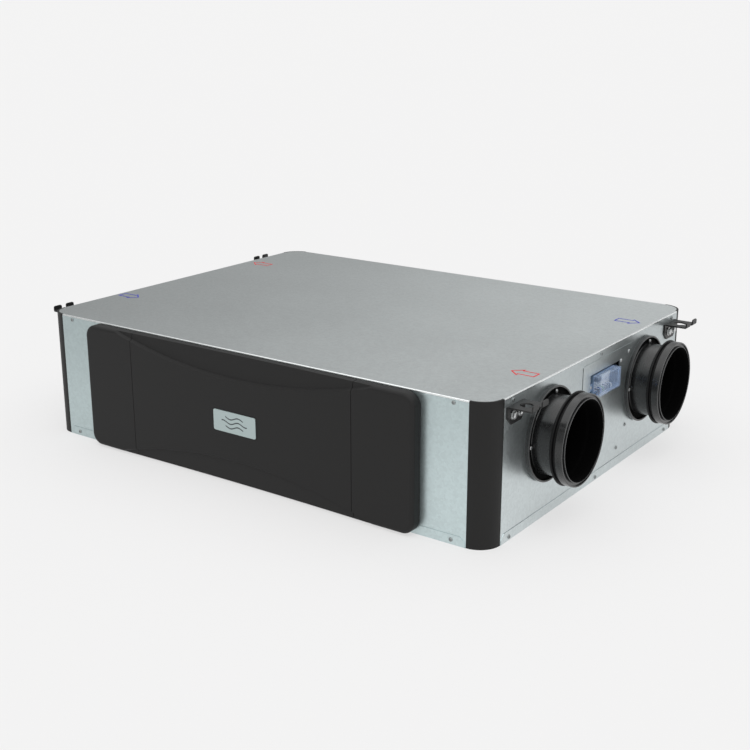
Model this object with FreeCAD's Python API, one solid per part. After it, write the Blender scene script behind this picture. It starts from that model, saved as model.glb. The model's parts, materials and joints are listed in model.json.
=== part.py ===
import FreeCAD, Part
import math
import os
from FreeCAD import Vector as V

# ---------------------------------------------------------------------------
# Flat ceiling-mounted heat recovery unit, millimetres, +Z up.
# Origin: centre of the casing's underside.  -Y is the service side with the
# fascia, +X and -X are the two duct sides.
# ---------------------------------------------------------------------------

# casing
W, D, H = 1025.0, 775.0, 250.0      # sheet metal casing, over the panels
R_PROF = 40.0                       # outer radius of the corner profiles
T_PROF = 3.5                        # wall of the corner profiles
T_SHEET = 1.0                       # galvanised sheet
GAP = 0.3                           # assembly gap between casing pieces
LIP_H = 17.0                        # upturned outer lip of the bottom cover
LIP_T = 0.8
HEM = 2.7                           # height of the folded edge of the top sheet
CX, CY = W / 2 - R_PROF, D / 2 - R_PROF      # centres of the corner radii

# duct spigots, nominal duct 160 mm
SP_Y, SP_Z = 192.5, 148.5
SP_BORE = 66.5
SP_LAND = 79.5                      # radius the duct slides over
SP_LEN = 66.5
SP_SCREW_R = 73.6
SP_SCREW_ANG = (82.5, 182.5, 332.0)
SP_BOSS = 6.0                       # seat of the flange screws, out of the panel
SP_HOLE = 69.5                      # hole in the side panel and the foam

# fascia
FA_X, FA_Z0, FA_Z1 = 383.0, 3.0, 247.0
FA_BACK, FA_FRONT = -388.7, -409.5
FA_R = 23.0
FA_SEAM = 259.0
FA_GAP = 0.5                        # half the width of the seam
REC_R = 1057.0                      # radius of the curved recess edge
REC_Z = 201.0                       # lowest point of the upper recess edge
REC_D = 5.5                         # depth of the step at the edge
REC_SLOPE = 0.10

# hanging brackets
BR_Y, BR_W, BR_ARM = 312.5, 57.0, 51.0
BR_T = 2.5
BR_Z0, BR_Z1 = 203.0, 234.5
BR_HOLE_X, BR_HOLE_R, BR_SLOT = 20.0, 11.0, 12.0
BR_TIP, BR_TAB_Z = 45.5, 243.5
BR_BOLT_Z, BR_BOLT_DY = 218.0, 11.5

# filters
FI_X, FI_W, FI_H, FI_L = 320.0, 46.0, 188.0, 330.0
FI_Z0 = 31.0

# counterflow exchanger, hexagonal in plan
EX_APEX, EX_SHO, EX_HALF = 200.0, 110.0, 150.0
EX_Z0, EX_Z1 = 44.0, 188.0

# fans
FAN_X, FAN_Y, FAN_R = 340.0, 250.0, 115.0
FAN_Z0, FAN_Z1 = 93.0, 204.0
IMP_R, IMP_EYE = 92.0, 58.0
SHAFT_R = 4.0

# air chambers in the foam
CH_Z0, CH_Z1 = 25.0, 225.0
CH_X, CH_Y, CH_DIV = 490.0, 366.0, 14.0
FOAM_X, FOAM_Y, FOAM_Z0, FOAM_Z1 = 508.0, 383.0, 1.5, 247.0
FOAM_SPLIT = 124.0

SCREW_R, SCREW_HEAD = 2.0, 3.6

os.makedirs("parts", exist_ok=True)


# ---------------------------------------------------------------------------
# helpers
# ---------------------------------------------------------------------------
def box(x0, x1, y0, y1, z0, z1):
    return Part.makeBox(x1 - x0, y1 - y0, z1 - z0, V(x0, y0, z0))


def cyl(r, p, d, h):
    return Part.makeCylinder(r, h, V(*p), V(*d))


def poly(points):
    pts = [V(*p) for p in points]
    return Part.Face(Part.makePolygon(pts + [pts[0]]))


def prism_z(xy, z0, z1):
    return poly([(x, y, z0) for x, y in xy]).extrude(V(0, 0, z1 - z0))


def prism_y(xz, y0, y1):
    return poly([(x, y0, z) for x, z in xz]).extrude(V(0, y1 - y0, 0))


def prism_x(yz, x0, x1):
    return poly([(x0, y, z) for y, z in yz]).extrude(V(x1 - x0, 0, 0))


def fuse(shapes):
    shapes = list(shapes)
    if len(shapes) == 1:
        return shapes[0]
    return shapes[0].multiFuse(shapes[1:]).removeSplitter()


def cut(a, *tools):
    tools = [t for t in tools]
    return a.cut(tools[0] if len(tools) == 1 else Part.Compound(tools)) if len(tools) == 1 else a.cut(tools)


def mirror_x(s):
    return s.mirror(V(0, 0, 0), V(1, 0, 0))


def mirror_y(s):
    return s.mirror(V(0, 0, 0), V(0, 1, 0))


def rounded_xz(x0, x1, z0, z1, r, y0, y1):
    """Rounded rectangle in XZ, extruded along Y."""
    s = box(x0, x1, y0, y1, z0, z1)
    edges = [e for e in s.Edges if abs(e.Vertexes[0].Point.y - e.Vertexes[-1].Point.y) > 0.5 * abs(y1 - y0)]
    return s.makeFillet(r, edges)


def rounded_yz(y0, y1, z0, z1, r, x0, x1):
    s = box(x0, x1, y0, y1, z0, z1)
    edges = [e for e in s.Edges if abs(e.Vertexes[0].Point.x - e.Vertexes[-1].Point.x) > 0.5 * abs(x1 - x0)]
    return s.makeFillet(r, edges)


def outline(half_x, half_y, corner_r, z0, z1):
    """Casing outline between the corner profiles, its corners stepped in to corner_r."""
    s = [box(-half_x, half_x, -(CY - GAP), CY - GAP, z0, z1),
         box(-(CX - GAP), CX - GAP, -half_y, half_y, z0, z1)]
    for sx in (1, -1):
        for sy in (1, -1):
            s.append(cyl(corner_r, (sx * CX, sy * CY, z0), (0, 0, 1), z1 - z0))
    return fuse(s)


def solids_of(shape):
    return shape.Solids if shape.ShapeType != "Solid" else [shape]


def save(name, *shapes):
    out = []
    for s in shapes:
        for b in solids_of(s):
            if not b.isValid():
                b.fix(1e-6, 1e-6, 1e-4)
            out.append(b)
    assert out, name
    for b in out:
        assert b.isValid() and b.Volume > 0, (name, b.Volume)
    shape = out[0] if len(out) == 1 else Part.Compound(out)
    shape.exportStep("parts/%s.step" % name)
    bb = shape.BoundBox
    print("%-28s %2d solids  x %7.1f %7.1f  y %7.1f %7.1f  z %6.1f %6.1f  %9.0f mm3" % (
        name, len(out), bb.XMin, bb.XMax, bb.YMin, bb.YMax, bb.ZMin, bb.ZMax, sum(b.Volume for b in out)))


# ---------------------------------------------------------------------------
# fastener positions on the casing
# ---------------------------------------------------------------------------
side_screws = []                      # (x sign, y, z) on the duct sides
for sx in (1, -1):
    for y in (-320.0, 0.0, 320.0):
        for z in (242.0, 6.0):
            side_screws.append((sx, y, z))
face_screws = []                      # (y sign, x, z) on front and back
for sy in (1, -1):
    for x in (-444.0, 444.0):
        for z in (242.0, 8.0):
            face_screws.append((sy, x, z))
for x in (-150.0, 150.0):
    for z in (242.0, 8.0):
        face_screws.append((1, x, z))
# rivets of the inner partition, seen between the spigots
rivets = [(121.8, 73.3), (87.6, 36.8)]


def screw_holes_x(sx, r=SCREW_R + 0.1, depth=4.0):
    """Clearance holes through the sheets of one duct side."""
    return [cyl(r, (sx * (W / 2 - depth), y, z), (sx, 0, 0), depth + 3) for s, y, z in side_screws if s == sx]


def screw_holes_y(sy, r=SCREW_R + 0.1, depth=4.0):
    return [cyl(r, (x, sy * (D / 2 - depth), z), (0, sy, 0), depth + 3) for s, x, z in face_screws if s == sy]


all_screw_holes = screw_holes_x(1) + screw_holes_x(-1) + screw_holes_y(1) + screw_holes_y(-1)


def pan_head(p, d, r_head=SCREW_HEAD, h=1.7, shank=3.2, r_shank=SCREW_R):
    """Low domed screw head on a sheet, with its shank; p is on the sheet, d points out."""
    n = V(*d).normalize()
    prof = [(0, 0), (r_head, 0), (r_head, 0.45 * h), (0.82 * r_head, 0.82 * h), (0.5 * r_head, h), (0, h)]
    f = poly([(a, 0, b) for a, b in prof])
    head = f.revolve(V(0, 0, 0), V(0, 0, 1), 360)
    shank_s = Part.makeCylinder(r_shank, shank, V(0, 0, -shank), V(0, 0, 1))
    # cross recess
    c1 = Part.makeBox(0.34 * r_head, 1.25 * r_head, h, V(-0.17 * r_head, -0.625 * r_head, 0.45 * h))
    c2 = Part.makeBox(1.25 * r_head, 0.34 * r_head, h, V(-0.625 * r_head, -0.17 * r_head, 0.45 * h))
    s = head.fuse(shank_s).cut([c1, c2])
    s.Placement = FreeCAD.Placement(V(*p), FreeCAD.Rotation(V(0, 0, 1), n))
    return s


# ---------------------------------------------------------------------------
# bottom cover: flat sheet with an upturned lip outside the panels
# ---------------------------------------------------------------------------
bottom = outline(W / 2 + LIP_T, D / 2 + LIP_T, R_PROF - T_PROF - GAP, 0, T_SHEET)
lx, ly = CX - 2.0, CY - 2.0
CH = 9.0                              # chamfered ends of the lips


def lip_x(sx):
    s = prism_x([(-ly, 0), (ly, 0), (ly, LIP_H - CH), (ly - CH, LIP_H), (-ly + CH, LIP_H), (-ly, LIP_H - CH)],
                W / 2, W / 2 + LIP_T)
    return s if sx > 0 else mirror_x(s)


def lip_y(sy):
    s = prism_y([(-lx, 0), (lx, 0), (lx, LIP_H - CH), (lx - CH, LIP_H), (-lx + CH, LIP_H), (-lx, LIP_H - CH)],
                D / 2, D / 2 + LIP_T)
    return s if sy > 0 else mirror_y(s)


bottom = fuse([bottom, lip_x(1), lip_x(-1), lip_y(1), lip_y(-1)])
bottom = bottom.cut(all_screw_holes)
save("bottom_cover", bottom)

# ---------------------------------------------------------------------------
# top panel: sheet with a folded edge and inner lips behind the side panels
# ---------------------------------------------------------------------------
top = outline(W / 2, D / 2, R_PROF - T_PROF - GAP, H - HEM, H)
edges = []
for e in top.Edges:
    if len(e.Vertexes) != 2:
        continue
    a, b = e.Vertexes[0].Point, e.Vertexes[1].Point
    if abs(a.z - H) < 1e-6 and abs(b.z - H) < 1e-6 and a.distanceToPoint(b) > 300:
        edges.append(e)
top = top.makeFillet(2.0, edges)
top = top.cut(outline(W / 2 - 2.1, D / 2 - 2.1, R_PROF - T_PROF - GAP - 1.2, H - HEM - 1, H - T_SHEET))
for sx in (1, -1):
    top = top.fuse(box(min(sx * 510.4, sx * 511.4), max(sx * 510.4, sx * 511.4), -330, 330, 228, H - HEM + 0.4))
for sy in (1, -1):
    top = top.fuse(box(-455, 455, min(sy * 385.4, sy * 386.4), max(sy * 385.4, sy * 386.4), 228, H - HEM + 0.4))
top = top.removeSplitter().cut(all_screw_holes)
save("top_panel", top)

# ---------------------------------------------------------------------------
# front, rear and side panels
# ---------------------------------------------------------------------------
PZ0, PZ1 = T_SHEET + 0.2, H - HEM - 0.3
SLOT_W, SLOT_Z0, SLOT_Z1 = FI_W + 4, FI_Z0 - 2, FI_Z0 + FI_H + 2
front = box(-(CX - GAP), CX - GAP, -D / 2, -D / 2 + T_SHEET, PZ0, PZ1)
slots = [box(s * FI_X - SLOT_W / 2, s * FI_X + SLOT_W / 2, -D / 2 - 2, -D / 2 + 3, SLOT_Z0, SLOT_Z1) for s in (1, -1)]
front = front.cut(slots + screw_holes_y(-1))
save("front_panel", front)

rear = box(-(CX - GAP), CX - GAP, D / 2 - T_SHEET, D / 2, PZ0, PZ1)
# shallow stiffening swages across the rear panel
for x in (-300.0, 300.0):
    sw = rounded_xz(x - 110, x + 110, 60, 190, 12, D / 2 - 2.4, D / 2 - 0.1)
    rear = rear.fuse(sw)
    rear = rear.cut(rounded_xz(x - 108.8, x + 108.8, 61.2, 188.8, 10.8, D / 2 - 1.4, D / 2 + 1))
rear = rear.removeSplitter().cut(screw_holes_y(1))
save("rear_panel", rear)

WIN_Y0, WIN_Y1, WIN_Z0, WIN_Z1 = -41.0, 79.0, 167.0, 211.0
AP_SCREWS = ((119.5, 219.5), (-62.0, 152.0), (86.5, 209.0))
DRAIN_Y, DRAIN_Z, DRAIN_R = 0.0, 33.0, 10.0


def side_panel(sx):
    s = box(W / 2 - T_SHEET, W / 2, -(CY - GAP), CY - GAP, PZ0, PZ1)
    tools = [cyl(SP_HOLE, (W / 2 - 3, sy * SP_Y, SP_Z), (1, 0, 0), 6) for sy in (1, -1)]
    for sy in (1, -1):
        for a in SP_SCREW_ANG:
            y = sy * SP_Y + SP_SCREW_R * math.cos(math.radians(a))
            z = SP_Z + SP_SCREW_R * math.sin(math.radians(a))
            tools.append(cyl(SCREW_R + 0.1, (W / 2 - 3, y, z), (1, 0, 0), 6))
        for dy in (BR_BOLT_DY, -BR_BOLT_DY):
            tools.append(cyl(4.2, (W / 2 - 3, sy * BR_Y + dy, BR_BOLT_Z), (1, 0, 0), 6))
    if sx > 0:
        tools.append(box(W / 2 - 3, W / 2 + 3, WIN_Y0, WIN_Y1, WIN_Z0, WIN_Z1))
        for y, z in rivets:
            tools.append(cyl(2.1, (W / 2 - 3, y, z), (1, 0, 0), 6))
        for y, z in AP_SCREWS:
            tools.append(cyl(SCREW_R + 0.1, (W / 2 - 3, y, z), (1, 0, 0), 6))
    else:
        tools.append(cyl(DRAIN_R + 0.6, (W / 2 - 3, DRAIN_Y, DRAIN_Z), (1, 0, 0), 6))
    s = s.cut(tools + screw_holes_x(1))
    return s if sx > 0 else mirror_x(s)


save("right_side_panel", side_panel(1))
save("left_side_panel", side_panel(-1))

# ---------------------------------------------------------------------------
# corner profiles: quarter-round extrusions with tongues behind the panels
# ---------------------------------------------------------------------------
def corner(sx, sy):
    ring = cyl(R_PROF, (CX, CY, 0), (0, 0, 1), H).cut(cyl(R_PROF - T_PROF, (CX, CY, -1), (0, 0, 1), H + 2))
    ring = ring.common(box(CX, CX + 50, CY, CY + 50, 0, H))
    t1 = box(CX - 14, CX + 0.01, D / 2 - T_PROF, D / 2 - 1.2, 1.3, H - HEM - 0.4)
    t2 = box(W / 2 - T_PROF, W / 2 - 1.2, CY - 14, CY + 0.01, 1.3, H - HEM - 0.4)
    s = fuse([ring, t1, t2])
    if sx < 0:
        s = mirror_x(s)
    if sy < 0:
        s = mirror_y(s)
    return s


for name, sx, sy in (("front_left", -1, -1), ("front_right", 1, -1), ("rear_left", -1, 1), ("rear_right", 1, 1)):
    save("corner_profile_" + name, corner(sx, sy))

# ---------------------------------------------------------------------------
# casing screws
# ---------------------------------------------------------------------------
screws = []
for sx, y, z in side_screws:
    out = W / 2 + (LIP_T if z < LIP_H else 0.0)
    screws.append(pan_head((sx * out, y, z), (sx, 0, 0)))
for sy, x, z in face_screws:
    out = D / 2 + (LIP_T if z < LIP_H else 0.0)
    screws.append(pan_head((x, sy * out, z), (0, sy, 0)))
for y, z in rivets:
    screws.append(pan_head((W / 2, y, z), (1, 0, 0), shank=2.4))
save("casing_screws", *screws)

# ---------------------------------------------------------------------------
# fascia: centre cover and two filter covers, each an open-backed moulding
# ---------------------------------------------------------------------------
outer = box(-FA_X, FA_X, FA_FRONT, FA_BACK, FA_Z0, FA_Z1)
edges = [e for e in outer.Edges if abs(e.Vertexes[0].Point.y - e.Vertexes[-1].Point.y) > 10]
outer = outer.makeFillet(FA_R, edges)
edges = []
for e in outer.Edges:
    if all(abs(v.Point.y - FA_FRONT) < 1e-6 for v in e.Vertexes) and abs(e.BoundBox.YMax - FA_FRONT) < 1e-4:
        edges.append(e)
outer = outer.makeFillet(7.0, edges)


def recess(z_edge, up):
    """Curved, stepped recess: a shallow cone about an axis along Y, above (or below) the band."""
    s = 1 if up else -1
    zc = z_edge + s * REC_R
    y1 = FA_FRONT + REC_D
    r0, r1 = REC_R, REC_R - 75.0
    prof = [(r0 + 0.6, FA_FRONT - 3.0), (r0 + 0.6, FA_FRONT - 0.2), (r0 - 3.0, y1), (r1, y1 + REC_SLOPE * 72.0), (r1, FA_FRONT - 3.0)]
    pts = [V(0, y, zc - s * r) for r, y in prof]
    f = Part.Face(Part.makePolygon(pts + [pts[0]]))
    half = 27.0
    f.rotate(V(0, 0, zc), V(0, 1, 0), -half)
    return f.revolve(V(0, 0, zc), V(0, 1, 0), 2 * half)


outer = outer.cut([recess(REC_Z, True), recess(H - REC_Z, False)])


def cover(x0, x1):
    """One moulding of the fascia between x0 and x1 with its cavity."""
    s = outer.common(box(x0, x1, FA_FRONT - 5, FA_BACK + 5, FA_Z0 - 5, FA_Z1 + 5))
    wall = 3.0
    c0, c1 = x0 + wall, x1 - wall
    zb = 12.0
    c0 = max(c0, -FA_X + zb) if x0 < -FA_SEAM - 5 else c0
    c1 = min(c1, FA_X - zb) if x1 > FA_SEAM + 5 else c1
    cav = [box(c0, c1, FA_BACK - 7.5, FA_BACK + 1, FA_Z0 + 7, FA_Z1 - 7),
           box(c0, c1, FA_BACK - 17.0, FA_BACK - 7.4, 62, 188)]
    return s.cut(cav)


centre_cover = cover(-FA_SEAM + FA_GAP, FA_SEAM - FA_GAP)
save("fascia_centre_cover", centre_cover)
save("fascia_cap_left", cover(-FA_X - 5, -FA_SEAM - FA_GAP))
save("fascia_cap_right", cover(FA_SEAM + FA_GAP, FA_X + 5))

badge = rounded_xz(-50, 50, 102, 142, 4.0, FA_FRONT - 1.6, FA_FRONT)
edges = [e for e in badge.Edges if abs(e.BoundBox.YMin - (FA_FRONT - 1.6)) < 1e-4 and abs(e.BoundBox.YMax - (FA_FRONT - 1.6)) < 1e-4]
badge = badge.makeFillet(0.7, edges)
save("badge_plate", badge)

# clips on the front panel that hold the fascia pieces
clips = []
for x in (-372.0, -275.0, -225.0, 0.0, 225.0, 275.0, 372.0 - 12):
    for z in (22.0, 228.0):
        x_c = -360.0 if x < -300 else x
        b = box(x_c - 6, x_c + 6, -D / 2 - 6.0, -D / 2, z - 5, z + 5)
        b = b.cut(box(x_c - 7, x_c + 7, -D / 2 - 5.0, -D / 2 - 2.0, z - 3.0, z + 3.0))
        clips.append(b)
save("fascia_clips", *clips)

# ---------------------------------------------------------------------------
# duct spigots with rubber lip seals
# ---------------------------------------------------------------------------
X0 = W / 2


def ring_x(profile, y, z, sx):
    """Revolve a profile of (distance out of the panel, radius) about an axis along X."""
    pts = [V(X0 + a, y, z + r) for a, r in profile]
    s = Part.Face(Part.makePolygon(pts + [pts[0]])).revolve(V(0, y, z), V(1, 0, 0), 360)
    return s if sx > 0 else mirror_x(s)


spigot_prof = [(-7, SP_BORE), (-7, 68.5), (0, 68.5), (0, 81.5), (4.3, 81.5), (4.6, 83.0), (5.1, 83.5), (7.2, 83.5),
               (7.8, 83.1), (8.0, 82.5), (8.0, 81.2), (7.6, 80.5), (7.0, 80.3), (4.0, 80.0), (3.5, 79.5), (3.5, 70.8),
               (4.1, 69.6), (5.5, 69.0), (37.0, 69.0), (39.5, 70.0), (40.6, 71.6), (41.0, 72.5), (52.0, 72.5), (52.0, 79.0),
               (52.5, SP_LAND), (64.0, SP_LAND), (64.8, 79.2), (65.0, 78.6), (65.0, 77.2), (62.5, 76.5), (62.5, 72.5),
               (65.9, 71.9), (SP_LEN, 71.3), (SP_LEN, 70.6), (65.5, 69.0), (60.0, 68.0), (42.0, 68.0), (37.0, SP_BORE)]
seal_prof = [(41.2, 72.6), (51.7, 72.6), (51.7, 74.4), (51.2, 74.8), (48.2, 74.8), (47.2, 75.4), (46.4, 79.6), (45.9, 80.5),
             (44.9, 81.0), (43.9, 80.8), (43.1, 80.0), (42.4, 76.2), (41.9, 75.0), (41.2, 74.4)]
names = {(-1, -1): "outdoor_air", (-1, 1): "exhaust_air", (1, -1): "extract_air", (1, 1): "supply_air"}
sp_screws = []
for (sx, sy), nm in names.items():
    s = ring_x(spigot_prof, sy * SP_Y, SP_Z, sx)
    holes, bosses = [], []
    for a in SP_SCREW_ANG:
        y = sy * SP_Y + SP_SCREW_R * math.cos(math.radians(a))
        z = SP_Z + SP_SCREW_R * math.sin(math.radians(a))
        bosses.append(cyl(3.9, (sx * (X0 + 2.0), y, z), (sx, 0, 0), SP_BOSS - 2.0))
        holes.append(cyl(SCREW_R + 0.1, (sx * (X0 - 2), y, z), (sx, 0, 0), 12))
        sp_screws.append(pan_head((sx * (X0 + SP_BOSS), y, z), (sx, 0, 0), r_head=3.3, h=1.9, shank=8.5))
    s = fuse([s] + bosses)
    save("spigot_" + nm, s.cut(holes))
    save("seal_ring_" + nm, ring_x(seal_prof, sy * SP_Y, SP_Z, sx))
save("spigot_screws", *sp_screws)

# ---------------------------------------------------------------------------
# hanging brackets, bolted to the duct sides
# ---------------------------------------------------------------------------
def bracket(sx, sy):
    y0, y1 = BR_Y - BR_W / 2, BR_Y + BR_W / 2
    c = 12.0
    plate = prism_x([(y0, BR_Z1), (y0, BR_Z0 + c), (y0 + c, BR_Z0), (y1 - c, BR_Z0), (y1, BR_Z0 + c), (y1, BR_Z1)], X0, X0 + BR_T)
    # narrower arm with an upturned tab each side of the slot, bent from the same sheet
    t = BR_T
    a0, a1 = BR_Y - BR_ARM / 2, BR_Y + BR_ARM / 2
    x_tip = X0 + BR_TIP
    xz = [(X0, BR_Z1 - t), (x_tip, BR_Z1 - t), (x_tip, BR_TAB_Z), (x_tip - t, BR_TAB_Z), (x_tip - t, BR_Z1), (X0, BR_Z1)]
    arm = prism_y(xz, a0, a1)
    bend = [e for e in arm.Edges if abs(e.Length - BR_ARM) < 1e-6 and abs(e.BoundBox.XMin - x_tip) < 1e-6 and
            abs(e.BoundBox.ZMin - (BR_Z1 - t)) < 1e-6]
    arm = arm.makeFillet(3.2, bend)
    bend = [e for e in arm.Edges if abs(e.Length - BR_ARM) < 1e-6 and abs(e.BoundBox.XMin - (x_tip - t)) < 1e-6 and
            abs(e.BoundBox.ZMax - BR_Z1) < 1e-6]
    arm = arm.makeFillet(0.9, bend)
    s = fuse([plate, arm])
    hole = cyl(BR_HOLE_R, (X0 + BR_HOLE_X, BR_Y, BR_Z1 - 10), (0, 0, 1), 25)
    slot = box(X0 + BR_HOLE_X, X0 + 60, BR_Y - BR_SLOT / 2, BR_Y + BR_SLOT / 2, BR_Z1 - 10, BR_Z1 + 25)
    bolts = [cyl(4.2, (X0 - 1, BR_Y + d, BR_BOLT_Z), (1, 0, 0), 6) for d in (BR_BOLT_DY, -BR_BOLT_DY)]
    s = s.cut([hole, slot] + bolts)
    corners = [e for e in s.Edges if abs(e.Length - t) < 1e-3 and abs(e.BoundBox.ZMin - BR_TAB_Z) < 1e-3 and
               abs(e.BoundBox.ZMax - BR_TAB_Z) < 1e-3 and abs(e.BoundBox.YMax - e.BoundBox.YMin) < 1e-3]
    s = s.makeFillet(3.6, corners)
    if sx < 0:
        s = mirror_x(s)
    if sy < 0:
        s = mirror_y(s)
    return s


def hex_bolt(p, sx):
    """Flanged hexagon bolt through bracket and panel, with a washer face."""
    x, y, z = p
    hexa = [(y + 6.4 * math.cos(math.radians(60 * i + 10)), z + 6.4 * math.sin(math.radians(60 * i + 10))) for i in range(6)]
    head = prism_x(hexa, x, x + 5.0)
    dome = Part.makeSphere(11.0, V(x - 5.6, y, z)).common(box(x - 1, x + 6, y - 8, y + 8, z - 8, z + 8))
    head = head.common(dome)
    return head.fuse(cyl(4.0, (x - 9, y, z), (1, 0, 0), 9.5)).removeSplitter()


bolts, washers = [], []
for sx in (1, -1):
    for sy in (1, -1):
        nm = {(-1, -1): "front_left", (1, -1): "front_right", (-1, 1): "rear_left", (1, 1): "rear_right"}[(sx, sy)]
        save("hanging_bracket_" + nm, bracket(sx, sy))
        for d in (BR_BOLT_DY, -BR_BOLT_DY):
            y, z = sy * BR_Y + d, BR_BOLT_Z
            w = cyl(8.0, (X0 + BR_T, y, z), (1, 0, 0), 1.6).cut(cyl(4.2, (X0, y, z), (1, 0, 0), 8))
            b = hex_bolt((X0 + BR_T + 1.6, y, z), 1)
            if sx < 0:
                w, b = mirror_x(w), mirror_x(b)
            washers.append(w)
            bolts.append(b)
save("bracket_bolts", *bolts)
save("bracket_washers", *washers)

# ---------------------------------------------------------------------------
# electrical connection on the right side
# ---------------------------------------------------------------------------
plate = rounded_yz(-71, 134, 146, 234, 3.0, X0 + 0.05, X0 + 0.75)
tools = [box(X0 - 1, X0 + 3, WIN_Y0, WIN_Y1, WIN_Z0, WIN_Z1),
         cyl(86.0, (X0 - 1, SP_Y, SP_Z), (1, 0, 0), 5)]
tools += [cyl(SCREW_R + 0.1, (X0 - 1, y, z), (1, 0, 0), 5) for y, z in AP_SCREWS]
plate = plate.cut(tools)
save("access_plate", plate)
EAR_Y, EAR_Z = -34.5, 187.0           # small screw holding the terminal box's ear
save("access_plate_screws", pan_head((511.5, EAR_Y, EAR_Z), (1, 0, 0), r_head=3.0, h=1.6, shank=2.4, r_shank=1.6),
     *[pan_head((X0 + 0.75, y, z), (1, 0, 0), shank=4.0) for y, z in AP_SCREWS])

TB_Y0, TB_Y1, TB_Z0, TB_Z1 = -29.0, 57.0, 170.0, 208.0
LID_X0, LID_X1 = X0 + 1.6, X0 + 15.0
base = rounded_yz(TB_Y0, TB_Y1, TB_Z0, TB_Z1, 3.0, 493.5, LID_X0 - 0.4)
base = base.cut(rounded_yz(TB_Y0 + 2, TB_Y1 - 2, TB_Z0 + 2, TB_Z1 - 2, 1.5, 495.5, LID_X0 + 2))
ear1 = box(509.0, 511.5, WIN_Y0 + 1.0, TB_Y0 + 0.5, EAR_Z - 7, EAR_Z + 7)
ear2 = box(509.0, 511.5, TB_Y1 - 0.5, WIN_Y1 - 1.0, 178, 192)
base = fuse([base, ear1, ear2])
base = base.cut([cyl(1.7, (500, EAR_Y, EAR_Z), (1, 0, 0), 20)])
# two cable glands' entries in the lower wall
base = base.cut([cyl(6.0, (503.5, y, 164), (0, 0, 1), 10) for y in (-8.0, 36.0)])
save("terminal_box_base", base)

lid = rounded_yz(TB_Y0, TB_Y1, TB_Z0, TB_Z1, 3.0, LID_X0, LID_X1)
edges = [e for e in lid.Edges if abs(e.BoundBox.XMin - LID_X1) < 1e-4 and abs(e.BoundBox.XMax - LID_X1) < 1e-4]
lid = lid.makeFillet(1.6, edges)
lid = lid.cut(rounded_yz(TB_Y0 + 2, TB_Y1 - 2, TB_Z0 + 2, TB_Z1 - 2, 1.5, LID_X0 - 1, LID_X1 - 2))
rib = box(LID_X1 - 0.05, LID_X1 + 0.6, TB_Y0 + 5, TB_Y1 - 5, TB_Z1 - 6, TB_Z1 - 4.6)
lid = fuse([lid, rib])
save("terminal_box_lid", lid)

block = box(496.0, 512.0, -25, 52, 176, 196)
cutters = []
for i in range(7):
    yc = -18.3 + i * 10.6
    cutters.append(box(506.0, 513.0, yc - 3.6, yc + 3.6, 186, 192))
    cutters.append(cyl(2.6, (505, yc, 181), (1, 0, 0), 8))
block = block.cut(cutters)
save("terminal_block", block)

board = box(500.0, 501.6, -88, 88, 58, 148)
parts = [board,
         box(495.0, 500.02, -70, -40, 75, 105), box(494.5, 500.02, -25, 10, 70, 98), box(495.5, 500.02, 25, 45, 110, 140),
         box(496.5, 500.02, -60, 60, 64, 68)]
for y in (55.0, 68.0, 80.0):
    parts.append(cyl(4.5, (500.02, y, 85), (-1, 0, 0), 5.2))
save("controller_board", fuse(parts))

# ---------------------------------------------------------------------------
# insulating foam, two halves with four chambers, exchanger bay and bypass
# ---------------------------------------------------------------------------
TUN_N = V(EX_HALF, -(EX_APEX - EX_SHO), 0).normalize()       # out of the front right exchanger face
TUN_V = V(-TUN_N.y, TUN_N.x, 0)                              # across the bypass duct
TUN_U0 = TUN_N.dot(V((EX_APEX + EX_SHO) / 2, -EX_HALF / 2, 0))
TUN_V0 = TUN_V.dot(V((EX_APEX + EX_SHO) / 2, -EX_HALF / 2, 0))
TUN_PL = FreeCAD.Placement(V(0, 0, 0), FreeCAD.Rotation(V(0, 0, 1), math.degrees(math.atan2(TUN_N.y, TUN_N.x))))


def local(s):
    """Place a shape drawn in the bypass duct's own frame: u along it, v across it."""
    s = s.copy()
    s.Placement = TUN_PL.multiply(s.Placement)
    return s


def hexagon(off):
    """Plan outline of the exchanger, grown by off."""
    ang = math.atan2(EX_HALF, EX_APEX - EX_SHO)
    a = EX_APEX + off / math.sin(ang)
    sh = EX_SHO + off * math.tan(ang / 2)
    h = EX_HALF + off
    return [(a, 0), (sh, h), (-sh, h), (-a, 0), (-sh, -h), (sh, -h)]


foam = fuse([box(-FOAM_X, FOAM_X, -(CY - 6), CY - 6, FOAM_Z0, FOAM_Z1),
             box(-(CX - 20), CX - 20, -FOAM_Y, FOAM_Y, FOAM_Z0, FOAM_Z1)] +
            [cyl(33.5, (sx * CX, sy * CY, FOAM_Z0), (0, 0, 1), FOAM_Z1 - FOAM_Z0) for sx in (1, -1) for sy in (1, -1)])
tools = []
chamber = [(CH_X, -CH_DIV), (CH_X, -CH_Y), (EX_SHO + 2, -CH_Y), (EX_SHO + 2, -EX_HALF + 1), (EX_APEX - 7.0, -CH_DIV)]
for sx in (1, -1):
    for sy in (1, -1):
        tools.append(prism_z([(sx * x, -sy * y) for x, y in chamber], CH_Z0, CH_Z1))
        tools.append(cyl(SP_HOLE, (sx * (CH_X - 2), sy * SP_Y, SP_Z), (sx, 0, 0), 30))
        tools.append(box(min(sx * 504, sx * 512), max(sx * 504, sx * 512), sy * BR_Y - 24, sy * BR_Y + 24, BR_BOLT_Z - 10, BR_BOLT_Z + 10))
    tools.append(box(sx * FI_X - SLOT_W / 2, sx * FI_X + SLOT_W / 2, -FOAM_Y - 2, -CH_Y + 2, SLOT_Z0, SLOT_Z1))
tools.append(prism_z(hexagon(2.0), CH_Z0 + 1, EX_Z0))
tools.append(prism_z(hexagon(2.0), EX_Z0 - 0.5, EX_Z1 + 2).common(box(-300, 300, -EX_HALF - 0.2, EX_HALF + 0.2, 0, 300)))
TRAY_X, TRAY_Y = 206.0, 158.0
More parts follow.
